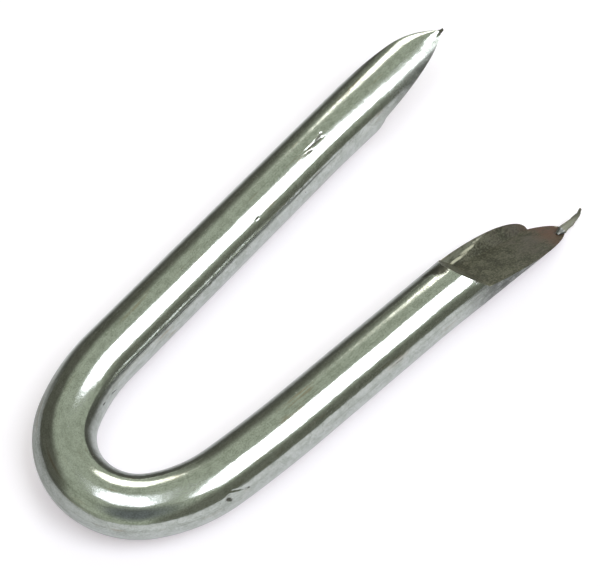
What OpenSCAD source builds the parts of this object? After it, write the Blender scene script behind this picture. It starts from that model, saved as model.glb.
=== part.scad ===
// Fence staple: one length of round zinc-coated wire, bent into a U, with a slash-cut point on each leg.
// It lies on its side with its legs along +Y. The origin is the centre of the crown's bend,
// on the plane that holds the wire's centreline.

/* [Wire] */
// Diameter of the wire
wire_d = 4; // [3.6:0.1:4.4]

/* [Crown] */
// Radius of the crown's bend, to the wire's centreline
crown_r = 4.8; // [4.4:0.1:6]
// How far the crown turns on the left of its middle, in degrees
left_crown_turn = 63.4; // [55:0.1:66]
// How far the crown turns on the right of its middle, in degrees
right_crown_turn = 54.3; // [50:0.1:60]

/* [Shoulders] */
// Radius of the left shoulder, where the crown opens out into the leg
left_shoulder_r = 11.8; // [8:0.1:16]
// Radius of the right shoulder
right_shoulder_r = 9.6; // [8:0.1:16]
// How far the right shoulder turns, in degrees
right_shoulder_turn = 27.8; // [24:0.1:29]
// Radius of the slight sweep that follows the right shoulder
right_sweep_r = 90; // [60:5:150]
// Angle of each leg to the staple's middle line, in degrees
leg_splay = 3.6; // [0:0.1:5]

/* [Legs] */
// Straight part of the left leg, from the last bend to the tip
left_leg = 32.6; // [26:0.1:40]
// Straight part of the right leg, which is the shorter one
right_leg = 22.3; // [20:0.1:34]

/* [Left point] */
// Direction that the left cut faces, from inward through upward, in degrees
left_cut_facing = 259; // [250:1:270]
// Slope of the left cut to the leg, in degrees
left_cut_rake = 10.5; // [10:0.1:14]
// Length of the left cut, from its shoulder to the tip
left_cut_length = 9.4; // [8:0.1:10]
// How far the left end leans inward, where the cutter spread the wire, in degrees
left_spread = 1.9; // [0.5:0.1:2]
// Length of the left end that is spread
left_spread_length = 12.4; // [11:0.1:13]

/* [Right point] */
// Direction that the right cut faces, from inward through upward, in degrees
right_cut_facing = 68.6; // [60:0.1:80]
// Slope of the right cut to the leg, in degrees
right_cut_rake = 15.6; // [14:0.1:17]
// Length of the right cut, from its shoulder to the tip
right_cut_length = 9.4; // [8.6:0.1:9.6]
// How far the right end leans outward, in degrees
right_spread = 1.5; // [0.5:0.1:1.5]
// Length of the right end that is spread
right_spread_length = 12.8; // [11:0.1:14]
// Slope of the face that steps down from the skin into each cut, in degrees from square
step_slope = 40; // [30:1:50]

/* [Rolled lip beside the right cut] */
// Direction that the lip's narrow face looks, in degrees
lip_facing = 110; // [100:1:120]
// Slope of the lip's face to the leg, in degrees
lip_rake = 12; // [10:0.5:13]
// Distance from the tip to where the lip's face would leave the wire
lip_setback = 1.55; // [1.3:0.05:1.8]
// Length of the lip's face and of what leads into it
lip_length = 9.9; // [9:0.1:10]

/* [Hook on the right tip] */
// Radius of the hook's outer curve
hook_r = 1.2; // [1:0.05:1.3]
// Height of the hook
hook_rise = 1; // [0.8:0.05:1.1]
// Thickness of the hook at its root
hook_root = 0.42; // [0.3:0.01:0.5]
// Width of the hook at its root
hook_w = 0.6; // [0.5:0.05:0.6]
// Length of the hook's flat root on the tip
hook_run = 1.5; // [1:0.1:1.8]

/* [Nick in the left leg] */
// Distance of the nick from the last bend
nick_run = 19.6; // [15:0.1:19.8]
// Place of the nick round the leg, from inward through upward, in degrees
nick_angle = 73; // [40:1:120]
// Length of the nick
nick_l = 2.5; // [1:0.1:3]
// Width of the nick
nick_w = 0.4; // [0.2:0.05:0.6]
// Depth of the nick
nick_depth = 0.15; // [0.05:0.01:0.2]

/* [Hidden] */
wire_r = wire_d / 2;
leg_heading = 90 - leg_splay;
// Each bend is its centreline radius and its turn, in order from the crown
left_bends = [
    [crown_r, left_crown_turn],
    [left_shoulder_r, leg_heading - left_crown_turn]
];
right_bends = [
    [crown_r, right_crown_turn],
    [right_shoulder_r, right_shoulder_turn],
    [right_sweep_r, leg_heading - right_crown_turn - right_shoulder_turn]
];
// Each bend draws the wire thinner by this much than the stretch after it
thinning = 0.01;
// How far each stretch reaches back over the end of the bend before it
lap = 0.2;
crown_thinning = 3 * thinning;
// The end that leans, and the tip of the end that is drawn out along the leg
lean_thinning = 2 * thinning;
tip_thinning = 6 * thinning;
// Room that a cutter keeps past the skin and past the tip, and how wide it is
clear = 1.5;
tip_clear = 4 * clear;
cutter_w = 4 * wire_d;
// Where the hook stands: ahead of the tip, below the leg's axis and out from it
hook_lead = 0.55;
hook_drop = 1.57;
hook_side = 1.3;
// Where the hook's inner curve is centred: ahead of and above the centre of the outer one
hook_inner_lead = 0.15;
hook_inner_rise = 0.4;
// Width of the hook where it ends, as a share of its width at the root
hook_end_share = 0.2;
zinc = [0.66, 0.69, 0.66];
$fn = 96;

// Moves its children from the start of a bend to its end: X runs along the wire, Y points inward
module past_bend(bend) {
    translate([bend[0] * sin(bend[1]), bend[0] * (1 - cos(bend[1])), 0])
        rotate([0, 0, bend[1]])
            children();
}

// Puts its children at the start of the straight leg
module at_leg(bends, i = 0) {
    if (i < len(bends)) {
        past_bend(bends[i])
            at_leg(bends, i + 1)
                children();
    } else {
        children();
    }
}

// A bent stretch of wire that starts back degrees before the origin, where it runs along X
module ring_segment(radius, back, turn, wire) {
    translate([0, radius, 0])
        rotate([0, 0, -90 - back])
            rotate_extrude(angle = back + turn)
                translate([radius, 0])
                    circle(r = wire);
}

// The bends that follow the crown, one ring segment each
module bent_wire(bends, i = 1) {
    past_bend(bends[i - 1]) {
        ring_segment(bends[i][0], lap / bends[i][0] * 180 / PI, bends[i][1],
            wire_r - (len(bends) - i) * thinning);
        if (i + 1 < len(bends)) {
            bent_wire(bends, i + 1);
        }
    }
}

// A straight wire along X
module straight_wire(start, end, radius) {
    translate([start, 0, 0])
        rotate([0, 90, 0])
            cylinder(r = radius, h = end - start);
}

// The straight leg. The cutter spread its end to one side by the angle lean, so that the end is
// wider than the wire: one round runs on along the leg and tapers, and a second one leans away
module leg_wire(length, spread_length, lean) {
    spread_start = length - spread_length;
    straight_wire(-lap, spread_start + lap, wire_r);
    translate([spread_start, 0, 0])
        rotate([0, 90, 0])
            cylinder(r1 = wire_r - thinning, r2 = wire_r - tip_thinning, h = spread_length + clear);
    translate([spread_start - lap, 0, 0])
        rotate([0, 0, lean])
            straight_wire(0, spread_length + lap + clear, wire_r - lean_thinning);
}

// What one jaw of the cutter takes off: all above a plane that meets the skin at tip and rises
// backward by rake, as far back as a step that leaves the skin at the distance length
module jaw_cut(tip, facing, rake, length, slope) {
    foot = (length - wire_d * tan(slope)) / (1 - tan(rake) * tan(slope));
    foot_depth = -wire_r + foot * tan(rake);
    top = wire_r + clear;
    rotate([facing, 0, 0])
        translate([0, 0, -cutter_w / 2])
            linear_extrude(height = cutter_w)
                polygon([
                    [tip - foot, foot_depth],
                    [tip + tip_clear, -wire_r - tip_clear * tan(rake)],
                    [tip + tip_clear, top],
                    [tip - foot - (top - foot_depth) * tan(slope), top]
                ]);
}

// The thin hook that the cutter dragged up at the tip, tapered to a point
module hook_burr(tip) {
    root_x = tip - hook_run;
    centre_x = tip + hook_lead;
    floor_z = -hook_drop;
    reach = centre_x + hook_r - root_x;
    root_side = hook_w / 2;
    end_side = root_side * hook_end_share;
    translate([0, -hook_side, 0])
        intersection() {
            rotate([90, 0, 0])
                linear_extrude(height = hook_w, center = true) {
                    translate([root_x, floor_z])
                        square([centre_x - root_x, hook_root]);
                    intersection() {
                        difference() {
                            translate([centre_x, floor_z + hook_r])
                                circle(r = hook_r);
                            translate([centre_x + hook_inner_lead, floor_z + hook_r + hook_inner_rise])
                                circle(r = norm([hook_r - hook_inner_lead, hook_inner_rise]));
                        }
                        translate([centre_x, floor_z - clear])
                            square([2 * hook_r, hook_rise + clear]);
                    }
                }
            translate([root_x, 0, -wire_d])
                linear_extrude(height = 2 * wire_d)
                    polygon([
                        [0, -root_side],
                        [reach, -end_side],
                        [reach, end_side],
                        [0, root_side]
                    ]);
        }
}

// The nick: a thin disc sunk into the skin
module nick() {
    disc_r = nick_l * nick_l / (8 * nick_depth);
    translate([nick_run, 0, 0])
        rotate([nick_angle, 0, 0])
            translate([0, wire_r - nick_depth + disc_r, 0])
                cylinder(r = disc_r, h = nick_w, center = true);
}

module left_side() {
    bent_wire(left_bends);
    at_leg(left_bends)
        difference() {
            leg_wire(left_leg, left_spread_length, left_spread);
            jaw_cut(left_leg, left_cut_facing, left_cut_rake, left_cut_length, step_slope);
            nick();
        }
}

module right_side() {
    bent_wire(right_bends);
    at_leg(right_bends) {
        difference() {
            leg_wire(right_leg, right_spread_length, -right_spread);
            intersection() {
                jaw_cut(right_leg, right_cut_facing, right_cut_rake, right_cut_length, step_slope);
                jaw_cut(right_leg - lip_setback, lip_facing, lip_rake, lip_length, step_slope);
            }
        }
        hook_burr(right_leg);
    }
}

module staple() {
    color(zinc)
        translate([0, -crown_r, 0]) {
            ring_segment(crown_r, left_crown_turn, right_crown_turn, wire_r - crown_thinning);
            right_side();
            mirror([1, 0, 0])
                left_side();
        }
}

staple();
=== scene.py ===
"""Looks of a used fence staple of zinc-coated wire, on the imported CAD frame.

Lengths are in millimetres until a mesh is finished, and angles are in degrees.
"""

import logging
import math
from dataclasses import dataclass, field
from enum import Enum
from typing import Callable, ClassVar, Optional, Sequence, Union

import bmesh
import bpy
import numpy as np
from mathutils import Matrix, Vector, noise


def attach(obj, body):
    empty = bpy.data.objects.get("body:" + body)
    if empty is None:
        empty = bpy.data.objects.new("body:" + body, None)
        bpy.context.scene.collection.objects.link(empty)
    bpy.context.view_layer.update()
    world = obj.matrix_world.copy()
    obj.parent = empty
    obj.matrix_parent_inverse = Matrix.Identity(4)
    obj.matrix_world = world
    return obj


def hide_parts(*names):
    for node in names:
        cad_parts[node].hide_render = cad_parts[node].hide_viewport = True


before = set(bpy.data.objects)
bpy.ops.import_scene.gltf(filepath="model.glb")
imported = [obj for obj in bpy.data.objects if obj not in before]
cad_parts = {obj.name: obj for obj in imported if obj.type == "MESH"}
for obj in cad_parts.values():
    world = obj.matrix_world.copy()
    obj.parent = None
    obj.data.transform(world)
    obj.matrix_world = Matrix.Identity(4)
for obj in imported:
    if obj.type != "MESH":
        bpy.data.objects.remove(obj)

LOG = logging.getLogger("fence_staple")
MM = 0.001
TOUCH = 1e-4
SHARP_EDGE = 32.0
STAPLE_MIDDLE = Vector((0, 0.014, 0))
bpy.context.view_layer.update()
Number = Union[int, float]


class Hand(Enum):
    """Which side of the staple's middle line something is on."""

    LEFT = -1
    RIGHT = 1


class Skin(Enum):
    """Material slots of the wire, in their order on the mesh."""

    ZINC = 0
    CUT_STEEL = 1


def sole_select(piece: bpy.types.Object) -> None:
    """Makes one object the only selected and the active one.

    Args:
        piece: the object to work on.
    """
    bpy.ops.object.select_all(action="DESELECT")
    piece.select_set(True)
    bpy.context.view_layer.objects.active = piece


class Bench:
    """Edit-mode work on one mesh, with the places of its points read back as numbers."""

    def __init__(self, piece: bpy.types.Object) -> None:
        """Puts the piece on the bench."""
        self.piece = piece
        sole_select(piece)

    def __enter__(self) -> "Bench":
        """Enters edit mode."""
        bpy.ops.object.mode_set(mode="EDIT")
        return self

    def __exit__(self, *_: object) -> None:
        """Leaves edit mode."""
        bpy.ops.object.mode_set(mode="OBJECT")

    def pick_all(self) -> None:
        """Selects the whole mesh."""
        bpy.ops.mesh.select_mode(type="VERT")
        bpy.ops.mesh.select_all(action="SELECT")

    def pick_points(self, wanted: Callable[[Vector], bool]) -> int:
        """Selects the points whose place passes a test.

        Args:
            wanted: the test, given a point's place.

        Returns:
            How many points are selected.
        """
        bpy.ops.mesh.select_mode(type="VERT")
        bpy.ops.mesh.select_all(action="DESELECT")
        mesh = bmesh.from_edit_mesh(self.piece.data)
        count = 0
        for point in mesh.verts:
            if wanted(point.co):
                point.select_set(True)
                count += 1
        mesh.select_flush(True)
        bmesh.update_edit_mesh(self.piece.data)
        return count

    def extrude_ring(self, step: Vector, count: int) -> None:
        """Draws the selected ring of edges out along a straight, ring by ring.

        Args:
            step: how far the last ring stands from the first.
            count: how many rings the stretch gets.
        """
        for _ in range(count):
            bpy.ops.mesh.extrude_edges_move(TRANSFORM_OT_translate={"value": tuple(step / count)})

    def tidy(self) -> None:
        """Merges doubles and turns every face outwards."""
        self.pick_all()
        bpy.ops.mesh.remove_doubles(threshold=TOUCH)
        bpy.ops.mesh.normals_make_consistent(inside=False)


def bake_place(piece: bpy.types.Object, scale: float = 1.0) -> None:
    """Scales an object about the origin and puts its place, turn and scale into its mesh.

    Args:
        piece: the object.
        scale: how much bigger it becomes.
    """
    sole_select(piece)
    if scale != 1.0:
        bpy.ops.transform.resize(value=(scale, scale, scale), center_override=(0, 0, 0))
    bpy.ops.object.transform_apply(location=True, rotation=True, scale=True)


def points_of(piece: bpy.types.Object) -> np.ndarray:
    """Reads a mesh's points.

    Args:
        piece: the mesh object.

    Returns:
        One row of x, y and z for each point.
    """
    flat = np.empty(len(piece.data.vertices) * 3)
    piece.data.vertices.foreach_get("co", flat)
    return flat.reshape(-1, 3)


def set_points(piece: bpy.types.Object, places: np.ndarray) -> None:
    """Writes a mesh's points back, from one row of x, y and z for each."""
    piece.data.vertices.foreach_set("co", places.ravel())
    piece.data.update()


def combine(piece: bpy.types.Object, other: bpy.types.Object, operation: str) -> None:
    """Cuts one closed mesh by another, or joins it on.

    Args:
        piece: the mesh that is changed.
        other: the mesh that cuts it or joins it.
        operation: the Boolean modifier's operation.
    """
    sole_select(piece)
    join = piece.modifiers.new(operation.lower(), "BOOLEAN")
    join.operation, join.solver, join.object = operation, "EXACT", other
    bpy.ops.object.modifier_apply(modifier=join.name)


@dataclass(frozen=True)
class Bend:
    """One bend of the wire: the radius of its centreline and its turn in degrees."""

    radius: float
    turn: float


@dataclass(frozen=True)
class Pose:
    """A place on the wire's centreline and the way it heads, in degrees from +X."""

    place: Vector
    heading: float

    def after_bend(self, bend: Bend, hand: Hand) -> "Pose":
        """Where the wire stands after a bend.

        Args:
            bend: the bend.
            hand: the side it is on, which sets the way it turns.

        Returns:
            The pose at the bend's end.
        """
        centre = self.bend_centre(bend, hand)
        turned = Matrix.Rotation(math.radians(bend.turn) * hand.value, 4, "Z")
        return Pose(centre + turned @ (self.place - centre), self.heading + bend.turn * hand.value)

    def bend_centre(self, bend: Bend, hand: Hand) -> Vector:
        """The point that a bend turns about."""
        side = math.radians(self.heading + 90 * hand.value)
        return self.place + bend.radius * Vector((math.cos(side), math.sin(side), 0))

    @property
    def forward(self) -> Vector:
        """The unit vector along the wire."""
        angle = math.radians(self.heading)
        return Vector((math.cos(angle), math.sin(angle), 0))


@dataclass(frozen=True)
class JawFace:
    """One flat that a cutter's jaw leaves.

    It has the way it faces round the leg, its slope, how far behind the tip it would leave the wire,
    its length back to the step, and the step's slope.
    """

    facing: float
    rake: float
    setback: float
    length: float
    step_slope: float = 40.0


@dataclass(frozen=True)
class Mark:
    """A knock in the skin, with metal pushed up along one side.

    Run is measured from the last bend and angle round the leg, from inward through upward.
    """

    run: float
    angle: float
    length: float
    width: float
    depth: float
    lip: float = 0.0
    slant: float = 0.0
    stain: float = 1.0
    TEAR: ClassVar[float] = 0.25
    LIP_PLACE: ClassVar[float] = 1.7
    LIP_HALF: ClassVar[float] = 0.6

    def profile(self, run: np.ndarray, aside: np.ndarray) -> tuple[np.ndarray, np.ndarray]:
        """Works out the mark's shape and stain.

        Args:
            run: each point's distance along the wire from the mark's middle.
            aside: its distance round the wire.

        Returns:
            How far the skin moves outwards, and the stain from 0 to 1.
        """
        slant = math.radians(self.slant)
        long = (run * math.cos(slant) + aside * math.sin(slant)) / (self.length / 2)
        wide = (aside * math.cos(slant) - run * math.sin(slant)) / (self.width / 2)
        torn = 1 + self.TEAR * np.sin(9 * long + 2 * wide)
        sink = -self.depth * torn * np.exp(-(long ** 4) - wide ** 2)
        rise = self.lip * np.exp(-(long * 0.9) ** 4 - ((wide - self.LIP_PLACE) / self.LIP_HALF) ** 2)
        return sink + rise, self.stain * np.exp(-(long * 0.9) ** 4 - (wide * 0.8) ** 2)


@dataclass(frozen=True)
class Nose:
    """How an end's outer side is drawn in: a gentle pinch, then a short nose that meets at one side."""

    pinch: float = 0.08
    pinch_start: float = 5.5
    pinch_length: float = 4.0
    share: float = 0.78
    length: float = 3.2
    side: float = 1.25
    curve: float = 2.6
    limit: float = 1.05

    def draw_in(self, past_tip: np.ndarray, inward: np.ndarray, wire_r: float) -> np.ndarray:
        """Moves points inward.

        Args:
            past_tip: how far each point lies past the tip, along the leg.
            inward: how far inward it lies.
            wire_r: the wire's radius.

        Returns:
            How far inward each point lies afterwards.
        """
        far = np.clip((past_tip + self.pinch_start) / self.pinch_length, 0, 1)
        outer = np.clip(-inward / wire_r, 0, 1)
        inward = inward + self.pinch * far * far * (3 - 2 * far) * outer
        nose = np.clip((past_tip + self.length) / self.length, 0, self.limit) ** self.curve
        return inward + self.share * nose * (self.side - inward) * (inward < self.side)


@dataclass(frozen=True)
class Wear:
    """Skin that the cutter dragged dull: where it starts and is full, and its place round the leg."""

    start: float
    full: float
    middle: float
    half: float


@dataclass(frozen=True)
class Ridge:
    """The ridge on the rolled lip's face, a little raised and with a painted highlight, by runs from the
    last bend and shares of the face.
    """

    gap: float = 0.02
    start: float = 12.6
    end: float = 18.4
    line_end: float = 18.1
    line_length: float = 5.1
    width: float = 0.11
    waver: float = 0.05
    fade_end: float = 19.4
    fade_length: float = 3.5
    height: float = 0.06
    brim: float = 0.75
    brim_start: float = 11.5
    brim_end: float = 14.6


@dataclass(frozen=True)
class Leg:
    """A leg, with its own frame: X along it, Y towards the other leg and Z up."""

    hand: Hand
    bends: tuple[Bend, ...]
    length: float
    spread: float
    spread_length: float
    faces: tuple[JawFace, ...]
    wear: Wear
    nose: Optional[Nose] = None
    marks: tuple[Mark, ...] = ()

    def start(self, crown_mid: Pose) -> Pose:
        """Where the straight leg begins.

        Args:
            crown_mid: the middle of the crown, heading towards this leg.

        Returns:
            The pose after the last bend.
        """
        pose = crown_mid
        for bend in self.bends:
            pose = pose.after_bend(bend, self.hand)
        return pose

    def frame(self, crown_mid: Pose) -> tuple[Vector, Vector, Vector, Vector]:
        """The leg's own frame.

        Args:
            crown_mid: the middle of the crown, heading towards this leg.

        Returns:
            Its origin, then its directions along, inward and up.
        """
        pose = self.start(crown_mid)
        along = pose.forward
        inward = Vector((-along.y, along.x, 0)) * self.hand.value
        return pose.place, along, inward, Vector((0, 0, 1))


@dataclass(frozen=True)
class Hook:
    """The thin hook at the right tip: a straight root, then a curve that rises and tapers."""

    run: float = 0.55
    lead: float = 0.75
    side: float = 1.3
    drop: float = 1.42
    radius: float = 0.85
    turn: float = 92.0
    straight: float = 0.42
    thick: float = 0.42
    width: float = 0.66
    tip_share: float = 0.24
    root_share: float = 0.35
    root_length: float = 0.22
    dents: float = 0.3
    side_dents: float = 0.4
    rings: int = 22
    sides: int = 24


@dataclass
class StapleWire:
    """The bent wire with its two slash-cut points, as one closed mesh."""

    wire_r: float = 2.0
    crown_r: float = 4.8
    sides: int = 96
    middle_half: float = 0.5
    bend_step: float = 0.26
    leg_step: float = 0.5
    end_step: float = 0.2
    overrun: float = 2.5
    spread_ease: float = 1.2
    block_side: float = 30.0
    cut_pitch: float = 0.16
    cut_back: float = 10.5
    cut_half: float = 2.1
    flat_gap: float = 2e-3
    flat_match: float = 0.999
    skin_share: float = 0.9
    torn_depth: float = 0.035
    torn_scale: float = 1.3
    torn_detail: tuple[float, float, int] = (0.9, 2.1, 5)
    mark_cuts: int = 3
    edge_sharpness: float = 8.0
    flag_rise: float = 3.7
    flag_merge: float = 0.01
    legs: tuple[Leg, ...] = (
        Leg(
            hand=Hand.RIGHT,
            bends=(Bend(4.8, 54.3), Bend(9.6, 27.8), Bend(90.0, 4.3)),
            length=22.3,
            spread=1.6,
            spread_length=12.8,
            faces=(
                JawFace(facing=68.6, rake=15.6, setback=0.0, length=9.4),
                JawFace(facing=110.0, rake=12.0, setback=1.3, length=9.65),
            ),
            wear=Wear(start=11.6, full=15.0, middle=193, half=52),
            marks=(
                Mark(run=-7.5, angle=154, length=0.5, width=0.30, depth=0.03,
                     lip=0.012, slant=55, stain=0.8),
                Mark(run=-6.3, angle=155, length=0.5, width=0.2, depth=0.02,
                     lip=0.012, slant=25, stain=0.7),
                Mark(run=-6.9, angle=146, length=0.9, width=0.12, depth=0.015,
                     lip=0.012, slant=30, stain=0.2),
                Mark(run=6.4, angle=151, length=1.2, width=0.08, depth=0.012, slant=6, stain=0.6),
                Mark(run=12.5, angle=62, length=1.2, width=1.0, depth=0.012, slant=25, stain=0.95),
                Mark(run=12.0, angle=50, length=1.3, width=0.6, depth=0.01, slant=10, stain=0.8),
                Mark(run=13.7, angle=128, length=0.5, width=0.4, depth=0.01, slant=60, stain=0.7),
            ),
        ),
        Leg(
            hand=Hand.LEFT,
            bends=(Bend(4.8, 63.4), Bend(11.8, 23.0)),
            length=32.8,
            spread=2.2,
            spread_length=12.4,
            faces=(JawFace(facing=259.0, rake=10.5, setback=0.0, length=9.4),),
            wear=Wear(start=24.5, full=30.0, middle=-2, half=51),
            nose=Nose(),
            marks=(
                Mark(run=19.9, angle=77, length=1.6, width=0.18, depth=0.035,
                     lip=0.015, slant=4, stain=0.9),
                Mark(run=19.2, angle=73, length=0.6, width=0.12, depth=0.03,
                     lip=0.02, slant=12, stain=0.9),
                Mark(run=20.4, angle=80, length=0.7, width=0.14, depth=0.03,
                     lip=0.03, slant=-6, stain=0.9),
                Mark(run=20.8, angle=82, length=0.3, width=0.16, depth=0.02,
                     lip=0.015, slant=20, stain=0.8),
                Mark(run=32.95, angle=62, length=0.42, width=1.4, depth=0.0, stain=1.0),
                Mark(run=13.16, angle=52.5, length=0.22, width=0.14, depth=0.02, lip=0.008),
                Mark(run=7.73, angle=27.5, length=0.3, width=0.16, depth=0.02,
                     lip=0.008, stain=0.8),
                Mark(run=-3.4, angle=17, length=0.6, width=0.16, depth=0.015, slant=20, stain=0.7),
                Mark(run=-2.1, angle=10, length=0.8, width=0.16, depth=0.015, slant=20, stain=0.7),
            ),
        ),
    )
    hook: Hook = Hook()
    ridge: Ridge = Ridge()
    crown_mid: Pose = field(init=False)

    def __post_init__(self) -> None:
        """Sets the sweep's start at the middle of the crown."""
        self.crown_mid = Pose(Vector((0, -self.crown_r, 0)), 0.0)

    def mid_towards(self, leg: Leg) -> Pose:
        """The middle of the crown, heading towards a leg."""
        return Pose(self.crown_mid.place, 0.0 if leg.hand is Hand.RIGHT else 180.0)

    def sweep(self) -> bpy.types.Object:
        """Sweeps a ring of edges both ways from the middle of the crown.

        Returns:
            The wire with both ends running past their cuts.
        """
        bpy.ops.object.select_all(action="DESELECT")
        bpy.ops.mesh.primitive_circle_add(
            vertices=self.sides, radius=self.wire_r, fill_type="NOTHING",
            location=self.crown_mid.place, rotation=(0, math.pi / 2, 0),
        )
        wire = bpy.context.active_object
        wire.name = "staple_wire"
        bake_place(wire)
        with Bench(wire) as bench:
            for leg in self.legs:
                bench.pick_points(lambda place: abs(place.x) < TOUCH and place.y < 0)
                self._sweep_leg(bench, leg)
                bpy.ops.mesh.edge_face_add()
            bench.tidy()
        return wire

    def _sweep_leg(self, bench: Bench, leg: Leg) -> None:
        """Sweeps the selected ring through a leg's bends and along its straight.

        Args:
            bench: the bench with the wire.
            leg: the leg.
        """
        pose = self.mid_towards(leg)
        for bend in leg.bends:
            arc = (bend.radius + self.wire_r) * math.radians(bend.turn)
            steps = max(2, round(arc / self.bend_step))
            bpy.ops.mesh.spin(
                steps=steps, angle=-math.radians(bend.turn) * leg.hand.value,
                center=tuple(pose.bend_centre(bend, leg.hand)), axis=(0, 0, 1),
            )
            pose = pose.after_bend(bend, leg.hand)
        plain = leg.length - leg.spread_length
        for stretch, step in ((plain, self.leg_step), (leg.spread_length + self.overrun, self.end_step)):
            bench.extrude_ring(pose.forward * stretch, math.ceil(stretch / step))

    def flag_beside(self, legs: Sequence[Leg], reach: float) -> bpy.types.Object:
        """Draws a low upright strip that follows the wire at a set distance, with its front to the wire, to
        carry painted shade in the metal's reflection.

        Args:
            legs: the legs it follows, from the middle of the crown.
            reach: how far outside the wire's centreline it stands at the crown; negative for inside.

        Returns:
            The strip, in metres.
        """
        bpy.ops.object.select_all(action="DESELECT")
        bpy.ops.mesh.primitive_plane_add(size=1, rotation=(0, math.pi / 2, 0))
        strip = bpy.context.active_object
        strip.name = "outer_shade_flag" if reach > 0 else "inner_shade_flag"
        bake_place(strip)
        middle = np.array((0, -self.crown_r - reach, self.flag_rise / 2 - self.wire_r))
        set_points(strip, points_of(strip) * (0, TOUCH, self.flag_rise) + middle)
        with Bench(strip) as bench:
            bench.pick_all()
            bpy.ops.mesh.remove_doubles(threshold=self.flag_merge)
            for leg in legs:
                bench.pick_points(lambda place: abs(place.x) < TOUCH and place.y < 0)
                self._sweep_leg(bench, leg)
            bench.pick_all()
            bpy.ops.mesh.normals_make_consistent(inside=False)
            faces = bmesh.from_edit_mesh(strip.data).faces
            if sum(face.normal.x * face.calc_center_median().x for face in faces) * reach > 0:
                bpy.ops.mesh.flip_normals()
        bake_place(strip, MM)
        return strip

    def to_leg(self, places: np.ndarray, leg: Leg) -> np.ndarray:
        """Turns places in the part's frame into rows of run, inward and up in a leg's own frame."""
        origin, *axes = leg.frame(self.mid_towards(leg))
        return (places - np.array(origin)) @ np.array(axes).T

    def from_leg(self, places: np.ndarray, leg: Leg) -> np.ndarray:
        """Turns rows of run, inward and up in a leg's own frame back into places in the part's frame."""
        origin, *axes = leg.frame(self.mid_towards(leg))
        return places @ np.array(axes) + np.array(origin)

    def own_side(self, places: np.ndarray, leg: Leg) -> np.ndarray:
        """Tells which points belong to a leg's half."""
        return places[:, 0] * leg.hand.value > self.middle_half

    def spread_ends(self, wire: bpy.types.Object) -> None:
        """Widens each end to the side where the cutter pressed the wire out, and narrows its outer side.

        Args:
            wire: the swept wire.
        """
        places = points_of(wire)
        for leg in self.legs:
            mine = self.own_side(places, leg)
            local = self.to_leg(places[mine], leg)
            past = np.clip(local[:, 0] - (leg.length - leg.spread_length), 0, None)
            ease = past - self.spread_ease * (1 - np.exp(-past / self.spread_ease))
            way = -leg.hand.value
            push = np.tan(math.radians(leg.spread)) * ease
            local[:, 1] += way * push * 0.5 * (1 + way * local[:, 1] / self.wire_r)
            if leg.nose:
                local[:, 1] = leg.nose.draw_in(local[:, 0] - leg.length, local[:, 1], self.wire_r)
            places[mine] = self.from_leg(local, leg)
        set_points(wire, places)

    def _plane(
        self, leg: Leg, run: float, depth: float, facing: float, lean: float
    ) -> tuple[Vector, Vector]:
        """A plane given in a leg's frame.

        Args:
            leg: the leg.
            run: where along the leg the plane passes.
            depth: how far out along its facing it passes.
            facing: the way it faces round the leg, in degrees.
            lean: the angle of its normal off square towards the tip, in degrees.

        Returns:
            A point of the plane and its normal, in the part's frame.
        """
        origin, along, inward, up = leg.frame(self.mid_towards(leg))
        out = inward * math.cos(math.radians(facing)) + up * math.sin(math.radians(facing))
        normal = along * math.sin(math.radians(lean)) + out * math.cos(math.radians(lean))
        return origin + along * run + out * depth, normal

    def jaw_planes(
        self, leg: Leg, face: JawFace
    ) -> tuple[tuple[Vector, Vector], tuple[Vector, Vector]]:
        """The flat and the step that one jaw leaves.

        Args:
            leg: the leg.
            face: the jaw's face.

        Returns:
            The flat's point and normal, and the step's.
        """
        slope, rake = math.tan(math.radians(face.step_slope)), math.tan(math.radians(face.rake))
        foot = (face.length - 2 * self.wire_r * slope) / (1 - rake * slope)
        tip = leg.length - face.setback
        flat = self._plane(leg, tip, -self.wire_r, face.facing, face.rake)
        step = self._plane(leg, tip - foot, -self.wire_r + foot * rake, face.facing, 90 - face.step_slope)
        return flat, step

    def cutter(self, leg: Leg) -> bpy.types.Object:
        """Makes the solid that the cutter takes off a leg, by cutting down a block.

        Args:
            leg: the leg.

        Returns:
            The block, cut to the jaws' planes.
        """
        origin, along, *_ = leg.frame(self.mid_towards(leg))
        bpy.ops.object.select_all(action="DESELECT")
        bpy.ops.mesh.primitive_cube_add(
            size=self.block_side, location=origin + along * (leg.length - self.wire_r))
        block = bpy.context.active_object
        bake_place(block)
        with Bench(block) as bench:
            for face in leg.faces:
                for point, normal in self.jaw_planes(leg, face):
                    bench.pick_all()
                    bpy.ops.mesh.bisect(
                        plane_co=tuple(point), plane_no=tuple(normal),
                        use_fill=True, clear_inner=True, clear_outer=False,
                    )
            bench.pick_all()
            bpy.ops.mesh.normals_make_consistent(inside=False)
        return block

    def cut_points(self, wire: bpy.types.Object) -> None:
        """Cuts both points.

        Args:
            wire: the swept wire.
        """
        for leg in self.legs:
            block = self.cutter(leg)
            combine(wire, block, "DIFFERENCE")
            bpy.data.objects.remove(block)

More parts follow.
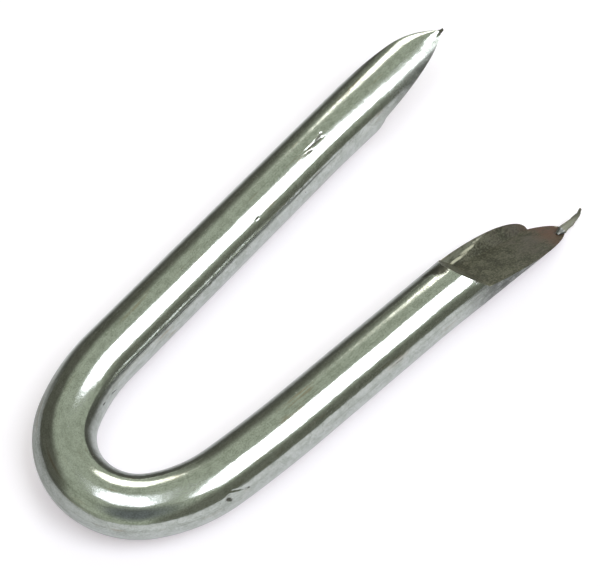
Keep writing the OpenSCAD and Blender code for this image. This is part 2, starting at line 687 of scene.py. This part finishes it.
    def refine_cut_faces(self, wire: bpy.types.Object) -> None:
        """Gives the cut faces their own slot and a fine grid of points.

        Args:
            wire: the cut wire.
        """
        flats = [pair for leg in self.legs for face in leg.faces for pair in self.jaw_planes(leg, face)]
        wire.data.materials.clear()
        for _ in Skin:
            wire.data.materials.append(bpy.data.materials.new("bare"))
        for face in wire.data.polygons:
            for point, normal in flats:
                gap, match = abs((face.center - point).dot(normal)), abs(face.normal.dot(normal))
                if gap < self.flat_gap and match > self.flat_match:
                    face.material_index = Skin.CUT_STEEL.value
        for leg in self.legs:
            origin, along, inward, _ = leg.frame(self.mid_towards(leg))
            grid = (
                (along, leg.length - self.cut_back, leg.length),
                (inward, -self.cut_half, self.cut_half),
            )
            with Bench(wire):
                for way, low, high in grid:
                    for at in np.arange(low, high, self.cut_pitch):
                        bpy.ops.mesh.select_all(action="DESELECT")
                        wire.active_material_index = Skin.CUT_STEEL.value
                        bpy.ops.object.material_slot_select()
                        bpy.ops.mesh.bisect(plane_co=tuple(origin + way * float(at)), plane_no=tuple(way))

    def raise_hook(self, wire: bpy.types.Object) -> None:
        """Draws the thin hook that the cutter dragged up at the right tip and joins it on.

        Args:
            wire: the cut wire.
        """
        leg, hook = self.legs[0], self.hook
        bpy.ops.object.select_all(action="DESELECT")
        bpy.ops.mesh.primitive_circle_add(
            vertices=hook.sides, radius=1, fill_type="NGON", rotation=(0, math.pi / 2, 0))
        burr = bpy.context.active_object
        bake_place(burr)
        with Bench(burr) as bench:
            bench.pick_all()
            for _ in range(hook.rings):
                step = (1 / hook.rings, 0, 0)
                bpy.ops.mesh.extrude_region_move(TRANSFORM_OT_translate={"value": step})
            bench.tidy()
        share, side, thick = points_of(burr).T
        root = np.clip(share / hook.straight, 0, 1)
        turn = np.radians(np.clip((share - hook.straight) / (1 - hook.straight), 0, 1) * hook.turn)
        grown = np.clip(hook.root_share + share / hook.root_length, 0, 1)
        slim = (1 - share * (1 - hook.tip_share)) * grown
        dent = np.array([noise.noise(Vector(spot)) for spot in zip(share * 7, side * 2, thick * 2)])
        radius = hook.radius - thick * slim * hook.thick / 2 * (1 + hook.dents * dent)
        run = leg.length - hook.run * (1 - root) + hook.lead * root + radius * np.sin(turn)
        rise = -hook.drop + hook.radius - radius * np.cos(turn)
        across = -hook.side + side * slim * hook.width / 2 * (1 + hook.side_dents * dent)
        set_points(burr, self.from_leg(np.stack([run, across, rise], axis=1), leg))
        burr.data.materials.append(wire.data.materials[Skin.ZINC.value])
        combine(wire, burr, "UNION")
        places = points_of(wire)
        past = self.own_side(places, leg) & (self.to_leg(places, leg)[:, 0] > leg.length - 0.1)
        self.write_mask(wire, "hook", past.astype(float))
        bpy.data.objects.remove(burr)

    def lay(self, places: np.ndarray) -> np.ndarray:
        """Straightens the wire: tells where each point would lie if the wire weren't bent.

        Args:
            places: rows of x, y and z.

        Returns:
            Rows of run from the middle of the crown (negative on the left), inward and up.
        """
        straight = np.zeros_like(places)
        straight[:, 2] = places[:, 2]
        for leg in self.legs:
            mine = places[:, 0] * leg.hand.value >= 0
            local = self.to_leg(places[mine], leg)
            arc = sum(math.radians(bend.turn) * bend.radius for bend in leg.bends)
            run, inward = local[:, 0] + arc, local[:, 1]
            todo = local[:, 0] < 0
            poses = [self.mid_towards(leg)]
            for bend in leg.bends:
                poses.append(poses[-1].after_bend(bend, leg.hand))
            reach = arc
            for bend, pose in zip(reversed(leg.bends), reversed(poses[:-1])):
                centre = np.array(pose.bend_centre(bend, leg.hand))
                first = np.array(pose.place) - centre
                spoke = places[mine] - centre
                cross = (first[0] * spoke[:, 1] - first[1] * spoke[:, 0]) * leg.hand.value
                angle = np.arctan2(cross, spoke[:, :2] @ first[:2])
                reach -= math.radians(bend.turn) * bend.radius
                here = todo & ((angle >= 0) | (bend is leg.bends[0]))
                run[here] = reach + angle[here] * bend.radius
                inward[here] = bend.radius - np.hypot(spoke[here, 0], spoke[here, 1])
                todo &= ~here
            straight[mine, 0] = run * leg.hand.value
            straight[mine, 1] = inward
        return straight

    def leg_run(self, leg: Leg, run: float) -> float:
        """Turns a run from a leg's last bend into a signed run from the middle of the crown."""
        arc = sum(math.radians(bend.turn) * bend.radius for bend in leg.bends)
        return (run + arc) * leg.hand.value

    def knock_marks(self, wire: bpy.types.Object) -> None:
        """Sinks the nick, the pits and the grip marks into the skin and raises their lips.

        Args:
            wire: the cut wire.
        """
        marks = [(self.leg_run(leg, mark.run), mark) for leg in self.legs for mark in leg.marks]
        with Bench(wire):
            bpy.ops.mesh.select_mode(type="FACE")
            bpy.ops.mesh.select_all(action="DESELECT")
            mesh = bmesh.from_edit_mesh(wire.data)
            mesh.faces.ensure_lookup_table()
            where = self.lay(np.array([face.calc_center_median() for face in mesh.faces]))
            turn = np.degrees(np.arctan2(where[:, 2], where[:, 1]))
            near = np.zeros(len(where), dtype=bool)
            for middle, mark in marks:
                aside = np.radians((turn - mark.angle + 180) % 360 - 180) * self.wire_r
                beside = abs(where[:, 0] - middle) < mark.length * 0.5 + mark.width
                near |= beside & (abs(aside) < mark.width + 0.2)
            for index in np.flatnonzero(near & self._on_skin(where)):
                mesh.faces[index].select_set(True)
            bmesh.update_edit_mesh(wire.data)
            bpy.ops.mesh.subdivide(number_cuts=self.mark_cuts)
        for middle, mark in marks:
            self._sink(wire, middle, mark)

    def _sink(self, wire: bpy.types.Object, middle: float, mark: Mark) -> None:
        """Sinks one mark.

        Args:
            wire: the wire.
            middle: the mark's run from the middle of the crown.
            mark: the mark.
        """
        places = points_of(wire)
        where = self.lay(places)
        turn = np.degrees(np.arctan2(where[:, 2], where[:, 1]))
        off = (turn - mark.angle + 180) % 360 - 180
        shift, stain = mark.profile(where[:, 0] - middle, np.radians(off) * self.wire_r)
        on_skin = self._on_skin(where)
        shift = np.where(on_skin & (abs(shift) > 1e-5), shift, 0.0)
        set_points(wire, places + self._spokes(places, where) * shift[:, None])
        self.write_mask(wire, "stain", np.where(on_skin, stain, 0.0))

    def _on_skin(self, where: np.ndarray) -> np.ndarray:
        """Tells which points lie on the wire's round skin, from rows of run, inward and up."""
        return np.hypot(where[:, 1], where[:, 2]) > self.skin_share * self.wire_r

    def _spokes(self, places: np.ndarray, where: np.ndarray) -> np.ndarray:
        """The outward direction at each point, square to the wire's centreline.

        Args:
            places: rows of x, y and z.
            where: the same points straightened.

        Returns:
            Unit rows.
        """
        step = 1e-3
        gradient = np.zeros_like(places)
        base = np.hypot(where[:, 1], where[:, 2])
        for axis in range(3):
            moved = places.copy()
            moved[:, axis] += step
            straight = self.lay(moved)
            gradient[:, axis] = (np.hypot(straight[:, 1], straight[:, 2]) - base) / step
        return gradient / (np.linalg.norm(gradient, axis=1)[:, None] + 1e-9)

    def write_mask(self, wire: bpy.types.Object, name: str, mask: np.ndarray) -> None:
        """Stores a mask from 0 to 1 for the finishes, keeping what is already stronger.

        Args:
            wire: the wire.
            name: the mask's name.
            mask: one number for each point.
        """
        layer = wire.data.attributes.get(name) or wire.data.attributes.new(name, "FLOAT", "POINT")
        before = np.zeros(len(wire.data.vertices), dtype=np.float32)
        layer.data.foreach_get("value", before)
        layer.data.foreach_set("value", np.maximum(before, mask).astype(np.float32))

    def wear_ends(self, wire: bpy.types.Object) -> None:
        """Marks where the cutter dragged the skin dull: outside the right cut and inside the left one.

        Args:
            wire: the cut wire.
        """
        where = self.lay(points_of(wire))
        turn = np.degrees(np.arctan2(where[:, 2], where[:, 1]))
        for leg in self.legs:
            wear = leg.wear
            run = (where[:, 0] - self.leg_run(leg, wear.start)) * leg.hand.value / (wear.full - wear.start)
            off = abs((turn - wear.middle + 180) % 360 - 180) / wear.half
            worn = np.clip(run, 0, 1) * np.clip((1 - off) * self.edge_sharpness, 0, 1)
            self.write_mask(wire, "wear", worn)

    def _share_of_lip(self, places: np.ndarray, gap: np.ndarray) -> np.ndarray:
        """Tells how far across the rolled lip's face each point lies.

        Args:
            places: rows of x, y and z.
            gap: each point's distance from the main flat.

        Returns:
            0 on the lip's outer edge, 1 where it meets the main flat.
        """
        leg = self.legs[0]
        main, lip = leg.faces
        run = self.to_leg(places, leg)[:, 0]
        depth = -self.wire_r + (leg.length - lip.setback - run) * math.tan(math.radians(lip.rake))
        rim = np.radians(lip.facing) - np.arccos(np.clip(depth / self.wire_r, -1, 1))
        rim_points = np.stack([run, self.wire_r * np.cos(rim), self.wire_r * np.sin(rim)], axis=1)
        point, normal = self.jaw_planes(leg, main)[0]
        widest = abs((self.from_leg(rim_points, leg) - np.array(point)) @ np.array(normal))
        return 1 - gap / np.maximum(widest, 1e-3)

    def tear_cut_faces(self, wire: bpy.types.Object) -> None:
        """Roughens the cut faces, raises a ridge that runs from where two of them meet across the rolled
        lip's face, and marks it for its painted highlight and the strip beside it for its painted lighter
        tone.

        Args:
            wire: the cut wire.
        """
        places = points_of(wire)
        mesh = wire.data
        skin = np.zeros(len(mesh.vertices), dtype=bool)
        cut = np.zeros(len(mesh.vertices), dtype=bool)
        for face in mesh.polygons:
            (cut if face.material_index == Skin.CUT_STEEL.value else skin)[list(face.vertices)] = True
        leg, ridge = self.legs[0], self.ridge
        flats = [self.jaw_planes(leg, face)[0] for face in leg.faces]
        gaps = [abs((places - np.array(point)) @ np.array(normal)) for point, normal in flats]
        share = self._share_of_lip(places, gaps[0])
        run = self.to_leg(places, leg)[:, 0]
        right = places[:, 0] > 0
        on_lip = cut & right & (gaps[1] < ridge.gap) & (run > ridge.start) & (run < ridge.end)
        line = (ridge.line_end - run) / ridge.line_length
        wavy = ridge.waver * np.array([noise.noise(Vector((at * 1.7, 3.1, 0.4))) for at in run])
        fade = np.clip((ridge.fade_end - run) / ridge.fade_length, 0, 1)
        # painted highlight on the ridge: a soft line across the lip's face, and a weaker one along the
        # cut's rim
        crest = on_lip * fade * np.exp(-((share - line + wavy) / ridge.width) ** 2)
        brim = cut & skin & right & (run > ridge.brim_start) & (run < ridge.brim_end)
        self.write_mask(wire, "ridge", np.maximum(crest, brim * ridge.brim))
        # painted light: the strip between the ridge and the lip's outer edge is painted lighter, for a
        # facet that catches more light
        self.write_mask(wire, "strip", on_lip * np.clip((line - share) * self.edge_sharpness + 0.5, 0, 1))
        inner = cut & ~skin
        torn = np.array([
            noise.fractal(Vector(place) * self.torn_scale, *self.torn_detail) if inside else 0.0
            for place, inside in zip(places, inner)
        ])
        lift = torn * self.torn_depth + crest * ridge.height * inner
        out = np.array(sum((normal for _, normal in flats), Vector()).normalized())
        down = np.array(self.jaw_planes(self.legs[1], self.legs[1].faces[0])[0][1])
        on_right = self.lay(places)[:, :1] > 0
        set_points(wire, places + np.where(on_right, out, down) * lift[:, None])

    def write_lay(self, wire: bpy.types.Object) -> None:
        """Stores the straightened places, in millimetres, for the finishes that follow the wire."""
        spot = wire.data.attributes.new("lay", "FLOAT_VECTOR", "POINT")
        spot.data.foreach_set("vector", self.lay(points_of(wire)).astype(np.float32).ravel())


class Socket:
    """A shader socket or a plain number that Python's operators work on."""

    def __init__(self, bench: "NodeBench", value: Union[bpy.types.NodeSocket, Number]) -> None:
        """Wraps a socket or a number, with the bench that new nodes go on."""
        self.bench, self.value = bench, value

    def _maths(self, operation: str, *others: Union["Socket", Number]) -> "Socket":
        """Adds a Math node whose first socket is this one, and returns its result."""
        return self.bench.node("ShaderNodeMath", {"operation": operation}, self, *others)

    def most(self, other: "Socket") -> "Socket":
        """The greater of two masks."""
        return self._maths("MAXIMUM", other)

    def __add__(self, other: Union["Socket", Number]) -> "Socket":
        """Sum."""
        return self._maths("ADD", other)

    def __radd__(self, other: Number) -> "Socket":
        """Sum, reflected."""
        return self._maths("ADD", other)

    def __sub__(self, other: Union["Socket", Number]) -> "Socket":
        """Difference."""
        return self._maths("SUBTRACT", other)

    def __rsub__(self, other: Number) -> "Socket":
        """Difference, reflected."""
        return self.bench.node("ShaderNodeMath", {"operation": "SUBTRACT"}, other, self)

    def __mul__(self, other: Union["Socket", Number]) -> "Socket":
        """Product."""
        return self._maths("MULTIPLY", other)

    def __rmul__(self, other: Number) -> "Socket":
        """Product, reflected."""
        return self._maths("MULTIPLY", other)

    def step(self, low: float, high: float) -> "Socket":
        """Rises from 0 to 1 as this goes from low to high, smoothly.

        Args:
            low: where it is 0.
            high: where it is 1.

        Returns:
            The mask.
        """
        return self.bench.node(
            "ShaderNodeMapRange", {"interpolation_type": "SMOOTHSTEP"},
            Value=self, **{"From Min": low, "From Max": high, "To Min": 0.0, "To Max": 1.0},
        )


class NodeBench:
    """Adds nodes to one node tree."""

    def __init__(self, tree: bpy.types.NodeTree) -> None:
        """Clears the tree."""
        self.tree = tree
        tree.nodes.clear()

    def node(self, kind: str, settings: Optional[dict] = None, *ordered: object, out: Union[int, str] = 0,
             **named: object) -> Socket:
        """Adds a node, sets it and feeds it.

        Args:
            kind: the node's type.
            settings: its settings, such as a Math node's operation, set before its sockets.
            ordered: values or sockets for its first sockets, in order.
            out: which output to return.
            named: values or sockets by the socket's name.

        Returns:
            The chosen output.
        """
        made = self.tree.nodes.new(kind)
        for name, value in (settings or {}).items():
            setattr(made, name, value)
        for place, value in list(enumerate(ordered)) + list(named.items()):
            self._feed(made.inputs[place], value)
        return Socket(self, made.outputs[out] if made.outputs else made)

    def _feed(self, socket: bpy.types.NodeSocket, value: object) -> None:
        """Links or sets one socket.

        Args:
            socket: the input.
            value: a Socket, or a plain value.
        """
        value = value.value if isinstance(value, Socket) else value
        if isinstance(value, bpy.types.NodeSocket):
            self.tree.links.new(value, socket)
        else:
            socket.default_value = value

    def scaled(self, vector: Socket, scale: tuple[float, float, float]) -> Socket:
        """Stretches a place for a pattern, by a factor on each axis."""
        return self.node("ShaderNodeVectorMath", {"operation": "MULTIPLY"}, vector, scale)

    def noise(self, vector: Socket, scale: float, detail: float = 3.0, rough: float = 0.5) -> Socket:
        """A cloudy pattern from 0 to 1.

        Args:
            vector: the place.
            scale: how fine it is, in patches for each unit of the place.
            detail: octaves.
            rough: strength of the finer octaves.

        Returns:
            The pattern.
        """
        return self.node(
            "ShaderNodeTexNoise", {"noise_dimensions": "3D"}, Vector=vector, Scale=scale, Detail=detail,
            Roughness=rough,
        )

    def axes(self, vector: Socket) -> tuple[Socket, Socket, Socket]:
        """Splits a place into its X, Y and Z."""
        return tuple(self.node("ShaderNodeSeparateXYZ", None, vector, out=axis) for axis in "XYZ")

    def mask(self, name: str) -> Socket:
        """Reads a mask from 0 to 1 that is stored on the mesh."""
        return self.node("ShaderNodeAttribute", {"attribute_name": name}, out="Fac")

    def mix(self, share: Union[Socket, Number], low: object, high: object) -> Socket:
        """Mixes two colours.

        Args:
            share: 0 for low, 1 for high.
            low: a colour or socket.
            high: a colour or socket.

        Returns:
            The mixed colour.
        """
        made = self.tree.nodes.new("ShaderNodeMix")
        made.data_type = "RGBA"
        for index, value in ((0, share), (6, low), (7, high)):
            self._feed(made.inputs[index], (*value, 1.0) if isinstance(value, tuple) else value)
        return Socket(self, made.outputs[2])


def new_finish(name: str) -> tuple[bpy.types.Material, NodeBench]:
    """Starts a material with an empty node tree.

    Args:
        name: the material's name.

    Returns:
        The material and the bench for its nodes.
    """
    made = bpy.data.materials.new(name)
    made.use_nodes = True
    return made, NodeBench(made.node_tree)


@dataclass(frozen=True)
class ZincSkin:
    """Bright zinc on drawn wire: mottled, finely streaked, stained in its marks, dull at the ends."""

    bright: tuple[float, float, float] = (0.65, 0.67, 0.655)
    worn: tuple[float, float, float] = (0.40, 0.42, 0.385)
    dragged: tuple[float, float, float] = (0.15, 0.15, 0.145)
    stain: tuple[float, float, float] = (0.065, 0.06, 0.045)
    tan: tuple[float, float, float] = (0.42, 0.33, 0.24)
    torn: tuple[float, float, float] = (0.30, 0.295, 0.24)
    rough: float = 0.058

    def make(self) -> bpy.types.Material:
        """Builds the material.

        Returns:
            The material.
        """
        made, bench = new_finish("zinc_skin")
        lay = bench.node("ShaderNodeAttribute", {"attribute_name": "lay"}, out="Vector")
        marks, ends, hook = (bench.mask(name) for name in ("stain", "wear", "hook"))
        streak = bench.noise(bench.scaled(lay, (0.10, 5.0, 5.0)), 1.0, 4.0, 0.6)
        fine = bench.noise(bench.scaled(lay, (0.7, 16.0, 16.0)), 1.0, 3.0, 0.6)
        lumps = bench.noise(bench.scaled(lay, (0.45, 0.9, 0.9)), 1.0, 2.0, 0.5)
        mottle = bench.noise(bench.scaled(lay, (1.5, 2.4, 2.4)), 1.0, 5.0, 0.65)
        grain = bench.noise(lay, 11.0, 3.0, 0.65)
        patch = bench.noise(bench.scaled(lay, (0.30, 1.1, 1.1)), 1.0, 3.0, 0.6)
        spots = bench.noise(lay, 5.5, 2.0, 0.5)
        dull = streak.step(0.50, 0.70) * 0.30 + (mottle.step(0.40, 0.62) + grain.step(0.44, 0.60)) * 0.45
        torn = (marks * (grain * 0.9 + mottle * 0.9)).step(0.38, 0.62)
        flecks = spots.step(0.70, 0.75) * patch.step(0.42, 0.60)
        dirty = (torn * 0.9).most(flecks * 0.8)
        drag = ends * ((mottle * 0.55 + fine * 0.45 + grain * 0.4).step(0.42, 0.80) * 0.6 + 0.4)
        browned = patch.step(0.55, 0.72) * streak.step(0.45, 0.62) * 0.6
        colour = bench.mix(browned, bench.mix(dull, self.bright, self.worn), self.tan)
        colour = bench.mix(dirty, bench.mix(drag, colour, self.dragged), self.stain)
        colour = bench.mix(hook * (mottle * 0.8 + grain * 0.7).step(0.45, 0.85), colour, self.torn)
        rough = dull * 0.10 + grain * 0.05 + dirty * 0.35 + (ends + drag) * 0.16 + hook * 0.22 + self.rough
        height = lumps * 0.45 + (mottle + drag - dirty) * 0.10 + streak * 0.07 + fine * 0.02 + grain * 0.035
        bump = bench.node("ShaderNodeBump", None, Strength=0.4, Distance=0.0001, Height=height)
        surface = bench.node(
            "ShaderNodeBsdfPrincipled", None, **{"Base Color": colour, "Metallic": 1.0, "Roughness": rough,
                                                 "Normal": bump},
        )
        bench.node("ShaderNodeOutputMaterial", None, surface)
        return made


@dataclass(frozen=True)
class CutSteel:
    """Sheared steel at the points: dark olive, with a streaked strip painted lighter for a facet that
    catches more light, a painted highlight on the ridge and a rusty right tip.
    """

    steel: tuple[float, float, float] = (0.034, 0.032, 0.019)
    sheen: tuple[float, float, float] = (0.125, 0.120, 0.085)
    # streaked steel, painted lighter for a facet that catches more light
    strip: tuple[float, float, float] = (0.16, 0.16, 0.125)
    # painted highlight: the pale colour of the ridge's crest and of the cut's rim
    ridge: tuple[float, float, float] = (0.52, 0.50, 0.40)
    rust: tuple[float, float, float] = (0.115, 0.052, 0.032)
    mauve: tuple[float, float, float] = (0.075, 0.060, 0.052)

    def make(self, rust_run: float) -> bpy.types.Material:
        """Builds the material.

        Args:
            rust_run: run of the rusty tip from the middle of the crown, in millimetres.

        Returns:
            The material.
        """
        made, bench = new_finish("cut_steel")
        lay = bench.node("ShaderNodeAttribute", {"attribute_name": "lay"}, out="Vector")
        run, *_ = bench.axes(lay)
        cloud = bench.noise(lay, 0.9, 4.0, 0.6)
        grain = bench.noise(lay, 7.0, 5.0, 0.75)
        drag = bench.noise(bench.scaled(lay, (0.7, 7.0, 7.0)), 1.0, 3.0, 0.6)
        shade = (cloud * 0.4 + grain * 0.8 + drag * 0.25).step(0.62, 0.86)
        # streaks, with the strip painted lighter for a facet that catches more light
        streaks_and_painted_light = bench.mask("strip") * (cloud * 0.5 + drag * 0.7 + grain * 0.3).step(0.48, 0.88)
        browner = run.step(rust_run - 5.6, rust_run - 2.4) * cloud.step(0.40, 0.58) * 0.6
        plain = bench.mix(browner, bench.mix(shade, self.steel, self.sheen), self.mauve)
        base = bench.mix(streaks_and_painted_light, plain, self.strip)
        rusty = run.step(rust_run - 2.4, rust_run - 0.7) * (cloud + grain * 0.6).step(0.55, 0.95) * 0.8
        # painted highlight along the ridge and the cut's rim, broken by the grain
        edge = (bench.mask("ridge") * (grain * 0.8 + drag * 0.9)).step(0.26, 0.62)
        colour = bench.mix(edge, bench.mix(rusty, base, self.rust), self.ridge)
        height = cloud * 0.3 + grain * 0.22 + drag * 0.2
        bump = bench.node("ShaderNodeBump", None, Strength=0.6, Distance=0.00012, Height=height)
        surface = bench.node(
            "ShaderNodeBsdfPrincipled", None,
            **{"Base Color": colour, "Metallic": edge * 0.5 + streaks_and_painted_light * 0.4 + 0.1,
               "Roughness": grain * 0.2 + 0.42, "Specular IOR Level": 0.3, "Normal": bump},
        )
        bench.node("ShaderNodeOutputMaterial", None, surface)
        return made


@dataclass(frozen=True)
class Softbox:
    """A soft light far above: its corners, each as X and Y of the way to it, and its brightness."""

    name: str
    corners: tuple[tuple[float, float], ...]
    bright: float
    colour: tuple[float, float, float] = (0.93, 0.96, 1.0)
    far: float = 1.5

    def hang(self) -> None:
        """Hangs the light as a glowing flat sheet, square to the way to its middle."""
        ways = [Vector((x, y, math.sqrt(1 - x * x - y * y))) for x, y in self.corners]
        middle = sum(ways, Vector()).normalized()
        spots = [way * self.far / way.dot(middle) + STAPLE_MIDDLE for way in ways]
        bpy.ops.object.select_all(action="DESELECT")
        bpy.ops.mesh.primitive_circle_add(vertices=len(spots), radius=1, fill_type="NGON")
        sheet = bpy.context.active_object
        sheet.name = self.name
        set_points(sheet, np.array(spots))
        made, bench = new_finish(self.name)
        glow = bench.node("ShaderNodeEmission", None, Color=(*self.colour, 1), Strength=self.bright)
        bench.node("ShaderNodeOutputMaterial", None, glow)
        sheet.data.materials.append(made)


@dataclass(frozen=True)
class Lamp:
    """A round soft lamp: the way it hangs, its size and its power."""

    way: tuple[float, float, float]
    size: float
    watts: float
    colour: tuple[float, float, float]
    far: float = 1.5

    def hang(self) -> None:
        """Hangs the lamp, facing the staple."""
        back = Vector(self.way).normalized()
        light = bpy.data.lights.new("far_lamp", "AREA")
        light.shape, light.size, light.energy, light.color = "DISK", self.size, self.watts, self.colour
        lamp = bpy.data.objects.new("far_lamp", light)
        lamp.location = STAPLE_MIDDLE + back * self.far
        lamp.rotation_euler = back.to_track_quat("Z", "Y").to_euler()
        bpy.context.scene.collection.objects.link(lamp)


@dataclass(frozen=True)
class Studio:
    """White floor, three soft lights, a grey-green room that darkens to the sides, and the camera."""

    floor_z: float = -2.0
    floor_side: float = 8000.0
    floor_colour: tuple[float, float, float] = (0.74, 0.735, 0.76)
    floor_white: tuple[float, float, float] = (0.37, 0.33, 0.36)
    floor_in_metal: float = 0.25
    room: tuple[float, float, float] = (0.46, 0.51, 0.40)
    dusk: tuple[float, float, float] = (0.125, 0.128, 0.10)
    shade: tuple[float, float, float] = (0.14, 0.155, 0.165)
    left_fade: tuple[float, float] = (0.54, 0.82)
    right_fade: tuple[float, float] = (0.68, 0.87)
    front_fade: tuple[float, float] = (0.86, 0.985)
    # painted shade: the dark that the metal sees in the flags, in place of the floor's shadow beside the
    # legs
    shade_flag: tuple[float, float, float] = (0.11, 0.114, 0.095)
    flag_reach: float = 2.9
    lights: tuple[Union[Softbox, Lamp], ...] = (
        Softbox("main_softbox", (
            (0.03, 0.24), (0.08, 0.41), (0.39, 0.52), (0.64, 0.515), (0.69, 0.30), (0.635, 0.0),
            (0.52, -0.11),
        ), 5.4),
        Softbox("top_softbox", (
            (-0.30, 0.13), (-0.11, 0.07), (0.24, -0.15), (0.31, -0.25), (0.17, -0.39), (0.0, -0.44),
            (-0.16, -0.42), (-0.27, -0.09),
        ), 2.7),
        Lamp((-0.62, 0.62, 0.48), 0.72, 3.4, (1.0, 0.98, 0.88)),
    )
    camera_place: tuple[float, float, float] = (39.57, -27.65, 99.48)
    camera_back: tuple[float, float, float] = (0.3434, -0.3634, 0.8660)
    lens: float = 106.36
    sensor: float = 36.0

    def build(self) -> None:
        """Makes the floor, the lights, the room and the camera."""
        self._floor()
        for light in self.lights:
            light.hang()
        self._room()
        self._camera()

    def _floor(self) -> None:
        """Lays the floor under the wire."""
        bpy.ops.object.select_all(action="DESELECT")
        bpy.ops.mesh.primitive_plane_add(
            size=self.floor_side * MM, location=(*STAPLE_MIDDLE.xy, self.floor_z * MM))
        floor = bpy.context.active_object
        floor.name = "floor"
        made, bench = new_finish("pale_floor")
        surface = bench.node(
            "ShaderNodeBsdfPrincipled", None,
            **{"Base Color": (*self.floor_colour, 1), "Roughness": 0.9, "Specular IOR Level": 0.1},
        )
        camera, glossy, through = (
            bench.node("ShaderNodeLightPath", None, out=f"Is {ray} Ray")
            for ray in ("Camera", "Glossy", "Transmission")
        )
        seen = camera + glossy * self.floor_in_metal + through
        white = bench.node("ShaderNodeEmission", None, Color=(*self.floor_white, 1), Strength=seen)
        both = bench.node("ShaderNodeAddShader", None, surface, white)
        bench.node("ShaderNodeOutputMaterial", None, both)
        floor.data.materials.append(made)

    def hang_shade_flags(self, form: StapleWire) -> None:
        """Stands low dark flags outside the left leg and inside the right one, that only the metal sees:
        painted shade, whose dark reflection stands in for the floor's shadow beside the legs.

        Args:
            form: the wire that the flags follow.
        """
        outside = form.flag_beside(form.legs, self.flag_reach)
        inside = form.flag_beside(form.legs, -self.flag_reach)
        for shade_flag, outer in ((outside, True), (inside, False)):
            made, bench = new_finish(shade_flag.name)
            behind = bench.node("ShaderNodeNewGeometry", None, out="Backfacing")
            dark = bench.node("ShaderNodeEmission", None, Color=(*self.shade_flag, 1), Strength=1.0)
            clear = bench.node("ShaderNodeBsdfTransparent", None)
            across, along, up = bench.axes(bench.node("ShaderNodeTexCoord", None, out="Object"))
            # the painted shade fades out along the wire and up each flag
            if outer:
                leftward = (across * -1.0).step(-7.0 * MM, 4.5 * MM)
                share = leftward * (along.step(-5.5 * MM, 0.5 * MM) * 0.35 + 0.65)
                height = up.step(-0.2 * MM, 1.3 * MM).most((1.0 - along.step(-4.0 * MM, 2.0 * MM)) * 0.75)
            else:
                share = across.step(0.0, 1.5 * MM).most(1.0 - along.step(-0.5 * MM, 3.5 * MM))
                height = up.step(-0.5 * MM, 1.4 * MM) * 0.85 + 0.15
            seen = share * height * (1.0 - behind)
            faded = bench.node("ShaderNodeMixShader", None, seen, clear, dark)
            bench.node("ShaderNodeOutputMaterial", None, faded)
            shade_flag.data.materials.append(made)
            for ray in ("camera", "diffuse", "shadow", "transmission"):
                setattr(shade_flag, f"visible_{ray}", False)

    def _room(self) -> None:
        """Paints the room: grey-green overhead, dark towards both sides and in front."""
        world = bpy.data.worlds.new("room")
        bpy.context.scene.world = world
        world.use_nodes = True
        bench = NodeBench(world.node_tree)
        across, along, up = bench.axes(bench.node("ShaderNodeTexCoord", None, out="Generated"))
        left = (across * -1.0 - along * 0.35).step(*self.left_fade)
        right = across.step(*self.right_fade)
        front = (across * 0.45 - along * 0.62 + up * 0.64).step(*self.front_fade)
        sides = bench.mix(right * 0.85, bench.mix(left, self.room, self.dusk), self.dusk)
        walls = bench.mix(front * 0.9, sides, self.shade)
        sky = bench.node("ShaderNodeBackground", None, Color=walls, Strength=1.0)
        bench.node("ShaderNodeOutputWorld", None, sky)

    def _camera(self) -> None:
        """Stands the camera at the photograph's angle."""
        back = Vector(self.camera_back).normalized()
        right = Vector((-back.y, back.x, 0)).normalized()
        up = back.cross(right)
        lens = bpy.data.cameras.new("camera")
        lens.lens, lens.sensor_width, lens.sensor_fit = self.lens, self.sensor, "HORIZONTAL"
        lens.clip_start, lens.clip_end = 0.005, 10.0
        camera = bpy.data.objects.new("camera", lens)
        camera.matrix_world = Matrix.Translation(Vector(self.camera_place) * MM) @ Matrix(
            (right, up, back)).transposed().to_4x4()
        bpy.context.scene.collection.objects.link(camera)
        bpy.context.scene.camera = camera
        bpy.context.scene.view_settings.view_transform = "Standard"


def main() -> None:
    """Builds the staple, its finishes and the studio, in order."""
    logging.basicConfig(level=logging.INFO, format="%(name)s: %(message)s")
    studio, form = Studio(), StapleWire()
    studio.build()
    wire = form.sweep()
    LOG.info("swept wire: %d points", len(wire.data.vertices))
    form.spread_ends(wire)
    form.cut_points(wire)
    form.refine_cut_faces(wire)
    form.raise_hook(wire)
    form.tear_cut_faces(wire)
    form.knock_marks(wire)
    form.wear_ends(wire)
    form.write_lay(wire)
    tip = form.leg_run(form.legs[0], form.legs[0].length)
    for slot, finish in ((Skin.ZINC, ZincSkin().make()), (Skin.CUT_STEEL, CutSteel().make(tip))):
        wire.data.materials[slot.value] = finish
    bake_place(wire, MM)
    bpy.ops.object.shade_smooth_by_angle(angle=math.radians(SHARP_EDGE))
    studio.hang_shade_flags(form)
    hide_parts("staple")
    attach(wire, "root")
    LOG.info("%s: %d points, %d faces", wire.name, len(wire.data.vertices), len(wire.data.polygons))
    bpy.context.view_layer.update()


if __name__ == "__main__":
    main()
